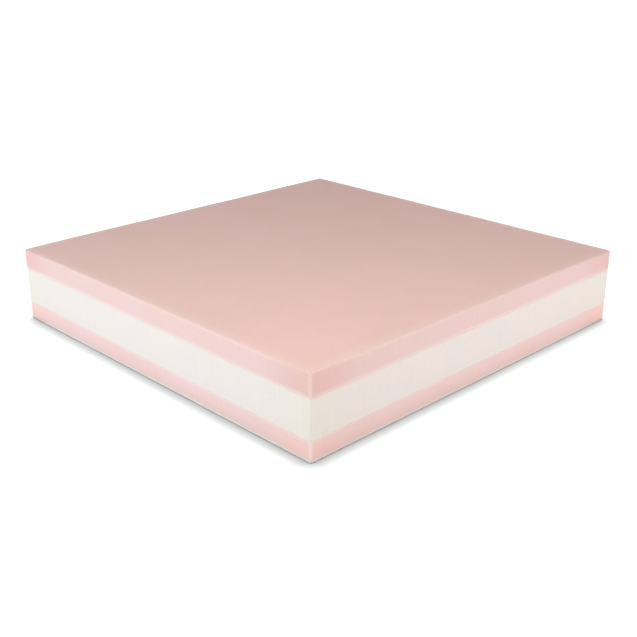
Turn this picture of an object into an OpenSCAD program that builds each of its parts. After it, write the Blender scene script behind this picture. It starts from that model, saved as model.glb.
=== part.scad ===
// Three-layer foam mattress core: a firm ivory slab glued between two slabs of pink memory foam.
// Millimetres. +Z is up, and the origin is the centre of the face that the core rests on.

/* [Block] */
// Width of the block, along X
block_w = 900; // [400:10:2000]
// Length of the block, along Y
block_l = 900; // [400:10:2200]
// Rounding of the four upright corners
corner_r = 4; // [1:0.5:12]
// Rounding of the outer edges of the resting face and of the sleeping face
edge_r = 4; // [1:0.5:12]

/* [Slabs] */
// Thickness of the memory foam slab at the bottom
lower_t = 39; // [20:0.5:100]
// Thickness of the firm slab in the middle
core_t = 77.5; // [30:0.5:200]
// Thickness of the memory foam slab on top
upper_t = 42.5; // [20:0.5:100]

/* [Adhesive] */
// Thickness of each cured adhesive film
film_t = 0.5; // [0.2:0.1:1]
// How far each film stays back from the cut sides of the foam
film_inset = 1; // [0:0.5:20]

/* [Hidden] */

// Flat steps in each quarter round of an edge
arc_steps = 6;

// Height of the underside of each piece above the resting face
lower_film_z = lower_t;
core_z = lower_film_z + film_t;
upper_film_z = core_z + core_t;
upper_z = upper_film_z + film_t;

// Colours of the memory foam, the firm foam and the dry adhesive
pink = [0.93, 0.74, 0.72];
ivory = [0.94, 0.92, 0.88];
amber = [0.93, 0.87, 0.70];

// Points of a quarter round of radius r about a centre, starting at angle from.
// A radius of 0 gives the sharp corner itself.
function quarter(centre, r, from) =
    r == 0 ? [centre]
    : [for (i = [0:arc_steps]) let (a = from + 90 * i / arc_steps) centre + r * [cos(a), sin(a)]];

// Rectangle w by h, centred in X, standing on the X axis, with its own radius at the bottom and the top.
module rounded_panel(w, h, r_bottom, r_top) {
    x_bottom = w / 2 - r_bottom;
    x_top = w / 2 - r_top;
    polygon(concat(
        quarter([x_top, h - r_top], r_top, 0),
        quarter([-x_top, h - r_top], r_top, 90),
        quarter([-x_bottom, r_bottom], r_bottom, 180),
        quarter([x_bottom, r_bottom], r_bottom, 270)));
}

// The block's outline in plan, drawn in from its sides by inset.
module plan(inset = 0) {
    r = max(corner_r - inset, 0);
    translate([0, inset - block_l / 2]) rounded_panel(block_w - 2 * inset, block_l - 2 * inset, r, r);
}

// A slab of foam sawn to the block's outline, its edges rounded on the faces that end up outside.
module slab(t, r_bottom = 0, r_top = 0) {
    intersection() {
        linear_extrude(t) plan();
        rotate([90, 0, 0]) linear_extrude(block_l, center = true) rounded_panel(block_w, t, r_bottom, r_top);
        rotate([90, 0, 90]) linear_extrude(block_w, center = true) rounded_panel(block_l, t, r_bottom, r_top);
    }
}

// Adhesive rolled over the whole joint but for a narrow dry margin.
module adhesive_film() {
    linear_extrude(film_t) plan(film_inset);
}

module lower_memory_foam() {
    color(pink) slab(lower_t, r_bottom = edge_r);
}

module lower_adhesive_film() {
    color(amber) translate([0, 0, lower_film_z]) adhesive_film();
}

module firm_core() {
    color(ivory) translate([0, 0, core_z]) slab(core_t);
}

module upper_adhesive_film() {
    color(amber) translate([0, 0, upper_film_z]) adhesive_film();
}

module upper_memory_foam() {
    color(pink) translate([0, 0, upper_z]) slab(upper_t, r_top = edge_r);
}

lower_memory_foam();
lower_adhesive_film();
firm_core();
upper_adhesive_film();
upper_memory_foam();
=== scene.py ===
import math

import bmesh
import bpy
from mathutils import Matrix, Vector


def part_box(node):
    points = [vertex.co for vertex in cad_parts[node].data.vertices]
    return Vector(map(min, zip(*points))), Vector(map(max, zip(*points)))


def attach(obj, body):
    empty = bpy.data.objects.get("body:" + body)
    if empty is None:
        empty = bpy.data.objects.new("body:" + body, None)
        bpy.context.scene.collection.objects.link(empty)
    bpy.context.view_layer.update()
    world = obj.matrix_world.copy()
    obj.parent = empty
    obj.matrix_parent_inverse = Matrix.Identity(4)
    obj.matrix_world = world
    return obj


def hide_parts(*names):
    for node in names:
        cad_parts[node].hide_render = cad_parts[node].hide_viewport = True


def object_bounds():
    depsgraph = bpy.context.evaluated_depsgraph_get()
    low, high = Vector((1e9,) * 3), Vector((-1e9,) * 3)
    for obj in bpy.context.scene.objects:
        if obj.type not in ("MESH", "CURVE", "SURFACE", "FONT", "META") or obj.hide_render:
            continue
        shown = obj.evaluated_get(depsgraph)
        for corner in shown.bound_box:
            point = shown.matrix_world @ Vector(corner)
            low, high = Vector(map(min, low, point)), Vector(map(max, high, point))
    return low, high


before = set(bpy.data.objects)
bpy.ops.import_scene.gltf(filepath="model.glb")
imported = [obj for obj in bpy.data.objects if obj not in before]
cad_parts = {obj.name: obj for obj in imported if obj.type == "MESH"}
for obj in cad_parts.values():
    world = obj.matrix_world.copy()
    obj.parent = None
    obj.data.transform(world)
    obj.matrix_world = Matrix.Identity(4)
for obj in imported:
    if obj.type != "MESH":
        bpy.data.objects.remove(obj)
cad_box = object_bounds()
base_corner, top_corner = cad_box

# ---------------------------------------------------------------- camera
# A short telephoto lens, about two metres from the block, looking down over its front corner.
# It is turned a hair from level, as a hand-set tripod is.
camera_place = Vector((-1.4206, -1.4670, 0.8274))
camera_heading = math.radians(44.197)
camera_dip = math.radians(22.097)
camera_roll = math.radians(-0.107)

camera_data = bpy.data.cameras.new("camera")
camera_data.sensor_width = 36
camera_data.lens = 55.84
camera = bpy.data.objects.new("camera", camera_data)
camera.matrix_world = (
    Matrix.Translation(camera_place)
    @ Matrix.Rotation(-camera_heading, 4, "Z")
    @ Matrix.Rotation(math.pi / 2 - camera_dip, 4, "X")
    @ Matrix.Rotation(camera_roll, 4, "Z")
)
bpy.context.scene.collection.objects.link(camera)
bpy.context.scene.camera = camera
bpy.context.scene.view_settings.view_transform = "Standard"


# ---------------------------------------------------------------- floor
# A grey paper floor with no visible end, lit so strongly by the lamp over it that it shows white.
# That lamp is as wide as a skylight and stands a little behind the block, so the block leaves
# only a narrow soft shadow in front. It lights nothing but the floor.
FLOOR_WIDTH = 80
FLOOR_GAP = 0.0002


def linear(hex_colour):
    """The linear red, green, blue and alpha of an sRGB colour such as "#F4D9D6"."""
    channels = [int(hex_colour[i:i + 2], 16) / 255 for i in (1, 3, 5)]
    return [c / 12.92 if c <= 0.04045 else ((c + 0.055) / 1.055) ** 2.4 for c in channels] + [1]


def add_node(tree, kind, sockets=None, **settings):
    """Adds a node. Each entry of sockets is a value to set or another node's output to link."""
    node = tree.nodes.new(kind)
    for name, value in settings.items():
        setattr(node, name, value)
    for name, value in (sockets or {}).items():
        if isinstance(value, bpy.types.NodeSocket):
            tree.links.new(value, node.inputs[name])
        else:
            node.inputs[name].default_value = value
    return node


def new_material(name):
    """An empty material and its node tree."""
    material = bpy.data.materials.new(name)
    material.use_nodes = True
    material.node_tree.nodes.clear()
    return material, material.node_tree


bpy.ops.object.select_all(action="DESELECT")
bpy.ops.mesh.primitive_plane_add(size=FLOOR_WIDTH, location=(0, 0, base_corner.z - FLOOR_GAP))
floor = bpy.context.object
floor.name = "floor"

# Dead matt, so no lamp is mirrored in it.
paper, tree = new_material("grey studio paper, matt")
shader = add_node(tree, "ShaderNodeBsdfDiffuse", {"Color": linear("#949797")})
add_node(tree, "ShaderNodeOutputMaterial", {"Surface": shader.outputs["BSDF"]})
floor.data.materials.append(paper)

lit_by_skylight = bpy.data.collections.new("lit by the skylight")
lit_by_skylight.objects.link(floor)
lit_by_softboxes = bpy.data.collections.new("lit by the softboxes")

lamp = bpy.data.lights.new("skylight", "SUN")
lamp.angle = math.radians(23)
lamp.energy = 11.4
skylight = bpy.data.objects.new("skylight", lamp)
skylight.rotation_euler = (math.radians(-3.6), math.radians(3.6), 0)
skylight.light_linking.receiver_collection = lit_by_skylight
bpy.context.scene.collection.objects.link(skylight)


# ---------------------------------------------------------------- softboxes
# Two small boxes hang over the two near sides, so the light on the top face falls away towards
# the back. Two larger ones stand low on either side, and a white room fills the rest.
def add_softbox(name, place, size, watts, colour):
    """A square softbox of that size, turned to face the middle of the block."""
    lamp = bpy.data.lights.new(name, "AREA")
    lamp.size = size
    lamp.energy = watts
    lamp.color = linear(colour)[:3]
    softbox = bpy.data.objects.new(name, lamp)
    softbox.location = place
    ray_to_block = (base_corner + top_corner) / 2 - softbox.location
    softbox.rotation_euler = ray_to_block.to_track_quat("-Z", "Y").to_euler()
    softbox.visible_camera = False
    softbox.light_linking.receiver_collection = lit_by_softboxes
    bpy.context.scene.collection.objects.link(softbox)


add_softbox("front_left", (-1.1, -0.3, 1.2), 0.6, 6.1, "#F5FAF2")
add_softbox("front_right", (-0.3, -1.1, 1.2), 0.6, 4.5, "#FAF4EB")
add_softbox("left_side", (-2.4, 1.0, 0.5), 1.0, 17.4, "#E8F6FF")
add_softbox("right_side", (1.2, -2.4, 0.5), 1.0, 13.4, "#FFF5EE")

world = bpy.data.worlds.new("white room")
world.use_nodes = True
bpy.context.scene.world = world
tree = world.node_tree
tree.nodes.clear()
ray = add_node(tree, "ShaderNodeLightPath")
ambient = add_node(tree, "ShaderNodeBackground", {"Color": linear("#FFFFFF"), "Strength": 0.45})
backdrop = add_node(tree, "ShaderNodeBackground", {"Color": linear("#FFFFFF"), "Strength": 1})
room = add_node(tree, "ShaderNodeMixShader", {
    0: ray.outputs["Is Camera Ray"], 1: ambient.outputs[0], 2: backdrop.outputs[0]})
add_node(tree, "ShaderNodeOutputWorld", {"Surface": room.outputs[0]})


# ---------------------------------------------------------------- lower memory foam slab
# Pink viscoelastic polyurethane foam, cast as a big block and split into slabs. After gluing,
# its sides are sawn flush with the other slabs. The edges that end up outside wear round.

# The block's weight presses its lower outline on the floor, so that one is rounded less than the
# upper one and the upright corners. A glued outline keeps only what the saw leaves.
TOP_ROUND = 0.004
BASE_ROUND = 0.0016
SEAM_ROUND = 0.0002
ROUND_STEPS = 5
STATION_PITCH = 0.0075
RISE_PITCH = 0.008
SAW_WAVE = 0.0004
SAW_SWELL = 0.07
FACE_WAVE = 0.0006
FACE_SWELL = 0.16


def add_block(name, low, high):
    """A sharp-edged block between two opposite corners, in edit mode with nothing selected."""
    bpy.ops.object.select_all(action="DESELECT")
    bpy.ops.mesh.primitive_cube_add(size=1, location=(low + high) / 2)
    block = bpy.context.object
    block.name = block.data.name = name
    block.scale = high - low
    bpy.ops.object.transform_apply(location=True, rotation=True, scale=True)
    bpy.ops.object.mode_set(mode="EDIT")
    bpy.ops.mesh.select_mode(type="EDGE")
    bpy.ops.mesh.select_all(action="DESELECT")
    return block


def select_edges(block, wanted):
    """Selects the edges for which wanted(edge, one end, other end) is true."""
    bpy.ops.mesh.select_all(action="DESELECT")
    mesh = bmesh.from_edit_mesh(block.data)
    for edge in mesh.edges:
        if wanted(edge, edge.verts[0].co, edge.verts[1].co):
            edge.select_set(True)
    mesh.select_flush_mode()
    bmesh.update_edit_mesh(block.data)


def divide(block, axis, length, pitch):
    """Cuts the block into equal stations along an axis, about pitch apart."""
    select_edges(block, lambda edge, a, b: abs(a[axis] - b[axis]) > length / 2)
    bpy.ops.mesh.subdivide(number_cuts=round(length / pitch) - 1)


def waver(piece, axis, near, amount, size):
    """Pushes the points for which near(point) is true to and fro along an axis, by up to amount.

    size is the distance from one swell to the next."""
    bpy.ops.object.mode_set(mode="EDIT")
    bpy.ops.mesh.select_mode(type="VERT")
    bpy.ops.mesh.select_all(action="DESELECT")
    mesh = bmesh.from_edit_mesh(piece.data)
    for vert in mesh.verts:
        if near(vert.co):
            vert.select_set(True)
    mesh.select_flush_mode()
    bmesh.update_edit_mesh(piece.data)
    piece.vertex_groups.new(name="wavering")
    bpy.ops.object.vertex_group_assign()
    bpy.ops.object.mode_set(mode="OBJECT")
    swell = bpy.data.textures.new("swell", "CLOUDS")
    swell.noise_scale = size
    swell.noise_depth = 2
    push = piece.modifiers.new("push", "DISPLACE")
    push.texture = swell
    push.texture_coords = "LOCAL"
    push.direction = axis
    push.strength = 2 * amount
    push.vertex_group = "wavering"
    bpy.ops.object.modifier_apply(modifier=push.name)
    piece.vertex_groups.clear()


def add_slab(name, low, high, base_round=SEAM_ROUND, top_round=SEAM_ROUND):
    """A sawn slab with rounded upright corners, and its lower and upper outlines rounded."""
    slab = add_block(name, low, high)
    for axis, pitch in enumerate((STATION_PITCH, STATION_PITCH, RISE_PITCH)):
        divide(slab, axis, high[axis] - low[axis], pitch)
    tiny = SEAM_ROUND / 10
    select_edges(slab, lambda edge, a, b: all(
        min(p[axis] - low[axis], high[axis] - p[axis]) < tiny for p in (a, b) for axis in (0, 1)))
    bpy.ops.mesh.bevel(offset=TOP_ROUND, segments=ROUND_STEPS)
    for height, radius in ((low.z, base_round), (high.z, top_round)):
        select_edges(slab, lambda edge, a, b: (
            abs(a.z - height) < tiny and abs(b.z - height) < tiny
            and edge.calc_face_angle() > math.radians(60)))
        bpy.ops.mesh.bevel(offset=radius, segments=2 if radius == SEAM_ROUND else ROUND_STEPS)

    # The roundings waver together with the face that they end in.
    rim = TOP_ROUND * 1.05
    waver(slab, "X", lambda p: min(p.x - low.x, high.x - p.x) < rim, SAW_WAVE, SAW_SWELL)
    waver(slab, "Y", lambda p: min(p.y - low.y, high.y - p.y) < rim, SAW_WAVE, SAW_SWELL)
    if top_round > SEAM_ROUND:
        waver(slab, "Z", lambda p: high.z - p.z < rim, FACE_WAVE, FACE_SWELL)
    bpy.ops.object.shade_smooth_by_angle(angle=math.radians(40))
    return slab


# Real memory foam has cells of 0.3 to 0.8 mm. The cells are drawn at 1.6 mm and the grain at
# 5 mm, coarser than real, because finer ones would not show.
MEMORY_CELL = 0.0016
GRAIN_SIZE = 0.005
PATCH_SIZE = 0.11
STREAK_WIDTH = 0.004
STREAK_LENGTH = 0.12
CELLS_BETWEEN_VOIDS = 12

# How far in from an edge, a side or a glue line each finish of the foam reaches.
SAWN_REACH = 0.004
# The next three reaches are for a painted highlight on the near edges and a painted shade on the far
# ones.
CORNER_HIGHLIGHT_REACH = 0.007
OUTLINE_HIGHLIGHT_REACH = 0.009
FAR_EDGE_SHADE_REACH = 0.006
PALED_REACH = 0.032
CORNER_DEEPENING_REACH = 0.14
GLUE_REACH = 0.006
SOAKED_COLOUR = "#E9D4CE"


def foam_distances(tree, at):
    """How far each point is from the sides, corners, outlines, outer faces and glue lines."""
    middle = (base_corner + top_corner) / 2
    gaps = []
    for axis in range(3):
        centred = add_node(tree, "ShaderNodeMath", {
            0: at[axis], 1: middle[axis]}, operation="SUBTRACT").outputs[0]
        spread = add_node(tree, "ShaderNodeMath", {0: centred}, operation="ABSOLUTE").outputs[0]
        half = top_corner[axis] - middle[axis]
        gaps.append(add_node(tree, "ShaderNodeMath", {
            0: half, 1: spread}, operation="SUBTRACT").outputs[0])
    across, along, upright = gaps
    to_glue = []
    for film in ("lower_adhesive_film", "upper_adhesive_film"):
        film_low, film_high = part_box(film)
        centred = add_node(tree, "ShaderNodeMath", {
            0: at[2], 1: (film_low.z + film_high.z) / 2}, operation="SUBTRACT").outputs[0]
        to_glue.append(add_node(tree, "ShaderNodeMath", {0: centred}, operation="ABSOLUTE").outputs[0])

    distance = {"face": upright}
    for name, choice, first, second in (
            ("side", "MINIMUM", across, along),
            ("corner", "MAXIMUM", across, along),
            ("glue", "MINIMUM", *to_glue)):
        distance[name] = add_node(tree, "ShaderNodeMath", {
            0: first, 1: second}, operation=choice).outputs[0]
    distance["outline"] = add_node(tree, "ShaderNodeMath", {
        0: distance["side"], 1: upright}, operation="MAXIMUM").outputs[0]
    distance["edge"] = add_node(tree, "ShaderNodeMath", {
        0: distance["corner"], 1: distance["outline"]}, operation="MINIMUM").outputs[0]
    return distance


def foam_finishes(tree, place):
    """How strongly each finish shows at each point, from 0 to 1, under the finish's name."""
    at = add_node(tree, "ShaderNodeSeparateXYZ", {"Vector": place}).outputs
    distance = foam_distances(tree, at)
    # The painted highlight on the outlines is strongest at the floor, where it lifts the contact shade,
    # and nearly gone at the top.
    highlight_at_height = add_node(tree, "ShaderNodeMapRange", {
        "Value": at[2], "From Min": base_corner.z, "From Max": top_corner.z,
        "To Min": 1, "To Max": 0.05}).outputs[0]

    # Each finish is strongest up to the first distance and has faded out at the second.
    finish = {}
    # The edge finishes here are a painted highlight on the near edges and a painted shade on the far
    # ones.
    for name, measure, full, faded, most in (
            ("sawn", "side", 0, SAWN_REACH, 1),
            ("highlit corner", "corner", 0.001, CORNER_HIGHLIGHT_REACH, 0.55),
            ("highlit outline", "outline", 0.001, OUTLINE_HIGHLIGHT_REACH, highlight_at_height),
            ("far edge shade", "edge", 0.002, FAR_EDGE_SHADE_REACH, 0.6),
            ("outer face", "face", 0.0012, 0.004, 1),
            ("paled", "side", 0.002, PALED_REACH, 0.35),
            ("corner deepening", "corner", 0.005, CORNER_DEEPENING_REACH, 1),
            ("glued", "glue", 0, GLUE_REACH, 0.8)):
        finish[name] = add_node(tree, "ShaderNodeMapRange", {
            "Value": distance[measure], "From Min": full, "From Max": faded,
            "To Min": most, "To Max": 0}, interpolation_type="SMOOTHSTEP").outputs[0]
    finish["highlit"] = add_node(tree, "ShaderNodeMath", {
        0: finish["highlit corner"], 1: finish["highlit outline"]}, operation="MAXIMUM").outputs[0]

    # The edges on the side of the -x -y corner get a pale painted highlight, and the others a darker
    # painted shade. Only the outer faces are paled, and only the sawn sides deepen towards the corners.
    diagonal = add_node(tree, "ShaderNodeMath", {0: at[0], 1: at[1]}, operation="ADD").outputs[0]
    highlit_half = add_node(tree, "ShaderNodeMapRange", {
        "Value": diagonal, "From Min": -0.12, "From Max": -0.02, "To Min": 1, "To Max": 0}).outputs[0]
    shaded_half = add_node(tree, "ShaderNodeMath", {0: 1, 1: highlit_half}, operation="SUBTRACT").outputs[0]
    for name, limit in (
            ("highlit", highlit_half), ("far edge shade", shaded_half), ("paled", finish["outer face"]),
            ("corner deepening", finish["sawn"])):
        finish[name] = add_node(tree, "ShaderNodeMath", {
            0: finish[name], 1: limit}, operation="MULTIPLY").outputs[0]
    return finish


def foam_patterns(tree, place, sawn, patches, cell_size):
    """Cell pits, soft grain, upright saw streaks on the sides, and a few voids of uneven size."""
    cells = add_node(tree, "ShaderNodeTexVoronoi", {
        "Vector": place, "Scale": 1 / cell_size}).outputs["Distance"]
    grain = add_node(tree, "ShaderNodeTexNoise", {
        "Vector": place, "Scale": 1 / GRAIN_SIZE, "Detail": 2}).outputs["Fac"]
    stretched = add_node(tree, "ShaderNodeMapping", {
        "Vector": place, "Scale": (1 / STREAK_WIDTH, 1 / STREAK_WIDTH, 1 / STREAK_LENGTH)})
    streaks = add_node(tree, "ShaderNodeTexNoise", {
        "Vector": stretched.outputs[0], "Scale": 1, "Detail": 1}).outputs["Fac"]
    streaks = add_node(tree, "ShaderNodeMix", {
        0: sawn, 2: 0.5, 3: streaks}, data_type="FLOAT").outputs[0]

    # The patches and the grain make some voids smaller and shallower than others.
    voids = add_node(tree, "ShaderNodeTexVoronoi", {
        "Vector": place, "Scale": 1 / (cell_size * CELLS_BETWEEN_VOIDS)}).outputs["Distance"]
    for filler, share in ((patches, 0.07), (grain, 0.05)):
        voids = add_node(tree, "ShaderNodeMath", {
            0: filler, 1: share, 2: voids}, operation="MULTIPLY_ADD").outputs[0]
    voids = add_node(tree, "ShaderNodeMapRange", {
        "Value": voids, "From Min": 0.06, "From Max": 0.13}, interpolation_type="SMOOTHSTEP").outputs[0]
    return cells, grain, streaks, voids


def foam_material(name, split_colours, sawn_colours, paled_colour, edge_highlight_colour, far_edge_shade_colour,
                  corner_deepening_colour, cell_size):
    """Open-celled foam, matt and slightly velvety, as it comes off the splitting and the band saw.

    Its sides are faintly streaked by the saw, and the rims of its outer faces are paler. The
    sides deepen in colour towards the upright corners. Beside a glue line the adhesive has soaked
    in. Outer edges on the -x -y half carry a pale painted highlight, strongest along the floor,
    where it lifts the contact shade, and the other outer edges a darker painted shade. Each pair
    of colours is two tints that it drifts between."""
    material, tree = new_material(name)
    place = add_node(tree, "ShaderNodeTexCoord").outputs["Object"]
    finish = foam_finishes(tree, place)

    patches = add_node(tree, "ShaderNodeTexNoise", {
        "Vector": place, "Scale": 1 / PATCH_SIZE, "Detail": 3}).outputs["Fac"]
    patches = add_node(tree, "ShaderNodeMapRange", {
        "Value": patches, "From Min": 0.35, "From Max": 0.65}).outputs[0]
    # The sides get different tints from the top and bottom faces: painted light and shade, to balance the
    # light that each face gets.
    split, side = [add_node(tree, "ShaderNodeMix", {
        0: patches, 6: linear(first), 7: linear(second)}, data_type="RGBA").outputs[2]
        for first, second in (split_colours, sawn_colours)]
    body = add_node(tree, "ShaderNodeMix", {
        0: finish["sawn"], 6: split, 7: side}, data_type="RGBA").outputs[2]
    for layer, colour in (
            ("paled", paled_colour), ("corner deepening", corner_deepening_colour), ("glued", SOAKED_COLOUR),
            ("far edge shade", far_edge_shade_colour), ("highlit", edge_highlight_colour)):
        body = add_node(tree, "ShaderNodeMix", {
            0: finish[layer], 6: body, 7: linear(colour)}, data_type="RGBA").outputs[2]

    # Each pattern shades the foam a little and gives it a relief, which is in metres. The cell pits and
    # the voids are drawn darker, painted shade in their hollows; the grain and the streaks vary the tone.
    cells, grain, streaks, voids = foam_patterns(tree, place, finish["sawn"], patches, cell_size)
    relief = 0.0
    for pattern, darkest, lightest, depth in (
            (cells, 0.96, 1.02, 0.0004), (grain, 0.97, 1.03, 0.0003),
            (streaks, 0.98, 1.02, 0.0001), (voids, 0.93, 1, 0.0008)):
        level = add_node(tree, "ShaderNodeMapRange", {
            "Value": pattern, "To Min": darkest, "To Max": lightest}).outputs[0]
        body = add_node(tree, "ShaderNodeVectorMath", {
            0: body, "Scale": level}, operation="SCALE").outputs[0]
        relief = add_node(tree, "ShaderNodeMath", {
            0: pattern, 1: depth, 2: relief}, operation="MULTIPLY_ADD").outputs[0]
    bump = add_node(tree, "ShaderNodeBump", {"Height": relief, "Distance": 1, "Strength": 0.5})
    shader = add_node(tree, "ShaderNodeBsdfPrincipled", {
        "Base Color": body, "Roughness": 0.95, "Specular IOR Level": 0.2,
        "Subsurface Weight": 0.25, "Subsurface Radius": (0.006, 0.004, 0.0035), "Subsurface Scale": 1,
        "Sheen Weight": 0.06, "Sheen Roughness": 0.6, "Normal": bump.outputs["Normal"]})
    add_node(tree, "ShaderNodeOutputMaterial", {"Surface": shader.outputs["BSDF"]})
    return material


# A pale pink, its sawn sides painted paler than the upper slab's to make up for the shade near the
# floor, and almost bare of colour along its lower edge, a painted highlight that lifts the contact shade.
lower_foam = foam_material(
    "viscoelastic polyurethane foam, sawn, paler batch",
    split_colours=("#F0C9C1", "#F4CAC6"), sawn_colours=("#E5C4BF", "#E6C4C3"), paled_colour="#F4DBD5",
    edge_highlight_colour="#F3E5DD", far_edge_shade_colour="#D6C0BA", corner_deepening_colour="#EAC2BC", cell_size=MEMORY_CELL)

low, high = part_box("lower_memory_foam")
lower_slab = add_slab("lower_memory_foam_slab", low, high, base_round=BASE_ROUND)
lower_slab.data.materials.append(lower_foam)
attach(lower_slab, "root")
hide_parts("lower_memory_foam")
lit_by_softboxes.objects.link(lower_slab)


# ---------------------------------------------------------------- lower adhesive coat
# Water-based contact adhesive, rolled on both foams and dried to a rubbery cream film between
# them. Its rim is ragged, because the roller stops short of the sides by a varying distance.
COAT_PITCH = 0.008
COAT_SHORT = 0.0005
COAT_RAGGED = 0.0003
COAT_SWELL = 0.018
RIDGE_LENGTH = 0.08
RIDGE_WIDTH = 0.004
RIDGE_HEIGHT = 0.0002
POOL_SIZE = 0.03


def adhesive_material():
    """Rubbery cream film with a dull gloss, uneven in thickness and ridged by the roller."""
    material, tree = new_material("dried water-based contact adhesive, rolled")
    place = add_node(tree, "ShaderNodeTexCoord").outputs["Object"]
    drawn_out = add_node(tree, "ShaderNodeMapping", {
        "Vector": place, "Scale": (1 / RIDGE_LENGTH, 1 / RIDGE_WIDTH, 1)})
    ridges = add_node(tree, "ShaderNodeTexNoise", {
        "Vector": drawn_out.outputs[0], "Scale": 1, "Detail": 2}).outputs["Fac"]
    pools = add_node(tree, "ShaderNodeTexNoise", {
        "Vector": place, "Scale": 1 / POOL_SIZE, "Detail": 3}).outputs["Fac"]
    pools = add_node(tree, "ShaderNodeMapRange", {
        "Value": pools, "From Min": 0.35, "From Max": 0.65}).outputs[0]
    thin_to_thick = add_node(tree, "ShaderNodeMix", {
        0: pools, 6: linear("#F0E0D4"), 7: linear("#E9D5C4")}, data_type="RGBA").outputs[2]
    bump = add_node(tree, "ShaderNodeBump", {
        "Height": ridges, "Distance": RIDGE_HEIGHT, "Strength": 0.6})
    shader = add_node(tree, "ShaderNodeBsdfPrincipled", {
        "Base Color": thin_to_thick, "Roughness": 0.42, "Normal": bump.outputs["Normal"]})
    add_node(tree, "ShaderNodeOutputMaterial", {"Surface": shader.outputs["BSDF"]})
    return material


def add_coat(name, film_low, film_high, slab_low, slab_high):
    """The film between two slabs, drawn out to just short of their sides, with a ragged rim."""
    short = Vector((COAT_SHORT, COAT_SHORT, 0))
    low = Vector((slab_low.x, slab_low.y, film_low.z)) + short
    high = Vector((slab_high.x, slab_high.y, film_high.z)) - short
    coat = add_block(name, low, high)
    for axis in (0, 1):
        divide(coat, axis, high[axis] - low[axis], COAT_PITCH)
    waver(coat, "X", lambda p: min(p.x - low.x, high.x - p.x) < COAT_SHORT, COAT_RAGGED, COAT_SWELL)
    waver(coat, "Y", lambda p: min(p.y - low.y, high.y - p.y) < COAT_SHORT, COAT_RAGGED, COAT_SWELL)
    bpy.ops.object.shade_smooth_by_angle(angle=math.radians(40))
    return coat


adhesive = adhesive_material()
slab_low, slab_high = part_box("firm_core")
lower_coat = add_coat("lower_adhesive_coat", *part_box("lower_adhesive_film"), slab_low, slab_high)
lower_coat.data.materials.append(adhesive)
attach(lower_coat, "root")
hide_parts("lower_adhesive_film")
lit_by_softboxes.objects.link(lower_coat)


# ---------------------------------------------------------------- firm core slab
# Ivory high-resilience polyurethane foam, firmer than the memory foam and larger in cell. It is
# split from its own block, glued between the pink slabs and sawn flush with them.
# Its cells are 1 to 1.5 mm and are drawn at 2.2 mm, because finer ones would not show.
FIRM_CELL = 0.0022

# A warm off-white, barely shaded, with a coarser grain than the pink foam.
firm_foam = foam_material(
    "high-resilience polyurethane foam, sawn",
    split_colours=("#E6DED5", "#E3DCD8"), sawn_colours=("#E1D6D0", "#DFD5D3"),
    paled_colour="#ECE6DF", edge_highlight_colour="#E4DBCE", far_edge_shade_colour="#D3CAC5",
    corner_deepening_colour="#DFD6CE", cell_size=FIRM_CELL)

low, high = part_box("firm_core")
core_slab = add_slab("firm_foam_slab", low, high)
core_slab.data.materials.append(firm_foam)
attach(core_slab, "root")
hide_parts("firm_core")
lit_by_softboxes.objects.link(core_slab)


# ---------------------------------------------------------------- upper adhesive coat
# The same contact adhesive, rolled between the core and the upper slab. Only its ragged rim can
# be seen, a cream thread deep in the upper seam.
upper_coat = add_coat("upper_adhesive_coat", *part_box("upper_adhesive_film"), slab_low, slab_high)
upper_coat.data.materials.append(adhesive)
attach(upper_coat, "root")
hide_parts("upper_adhesive_film")
lit_by_softboxes.objects.link(upper_coat)


# ---------------------------------------------------------------- upper memory foam slab
# The sleeping layer: the same pink foam as the lower slab, slightly thicker and glued on top of
# the core. Its split top face is soft and faintly uneven, and its outer edges are worn round.
# The same pink, its sawn sides painted a shade deeper than the lower slab's, to balance the
# stronger lamp light on this upper slab.
upper_foam = foam_material(
    "viscoelastic polyurethane foam, split and sawn, deeper batch",
    split_colours=("#F0C9C1", "#F4CAC6"), sawn_colours=("#DEC0BB", "#DFC0C0"), paled_colour="#F4DBD5",
    edge_highlight_colour="#EAD9CA", far_edge_shade_colour="#D6C0BA", corner_deepening_colour="#DDB5B0", cell_size=MEMORY_CELL)

low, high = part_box("upper_memory_foam")
upper_slab = add_slab("upper_memory_foam_slab", low, high, top_round=TOP_ROUND)
upper_slab.data.materials.append(upper_foam)
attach(upper_slab, "root")
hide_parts("upper_memory_foam")
lit_by_softboxes.objects.link(upper_slab)
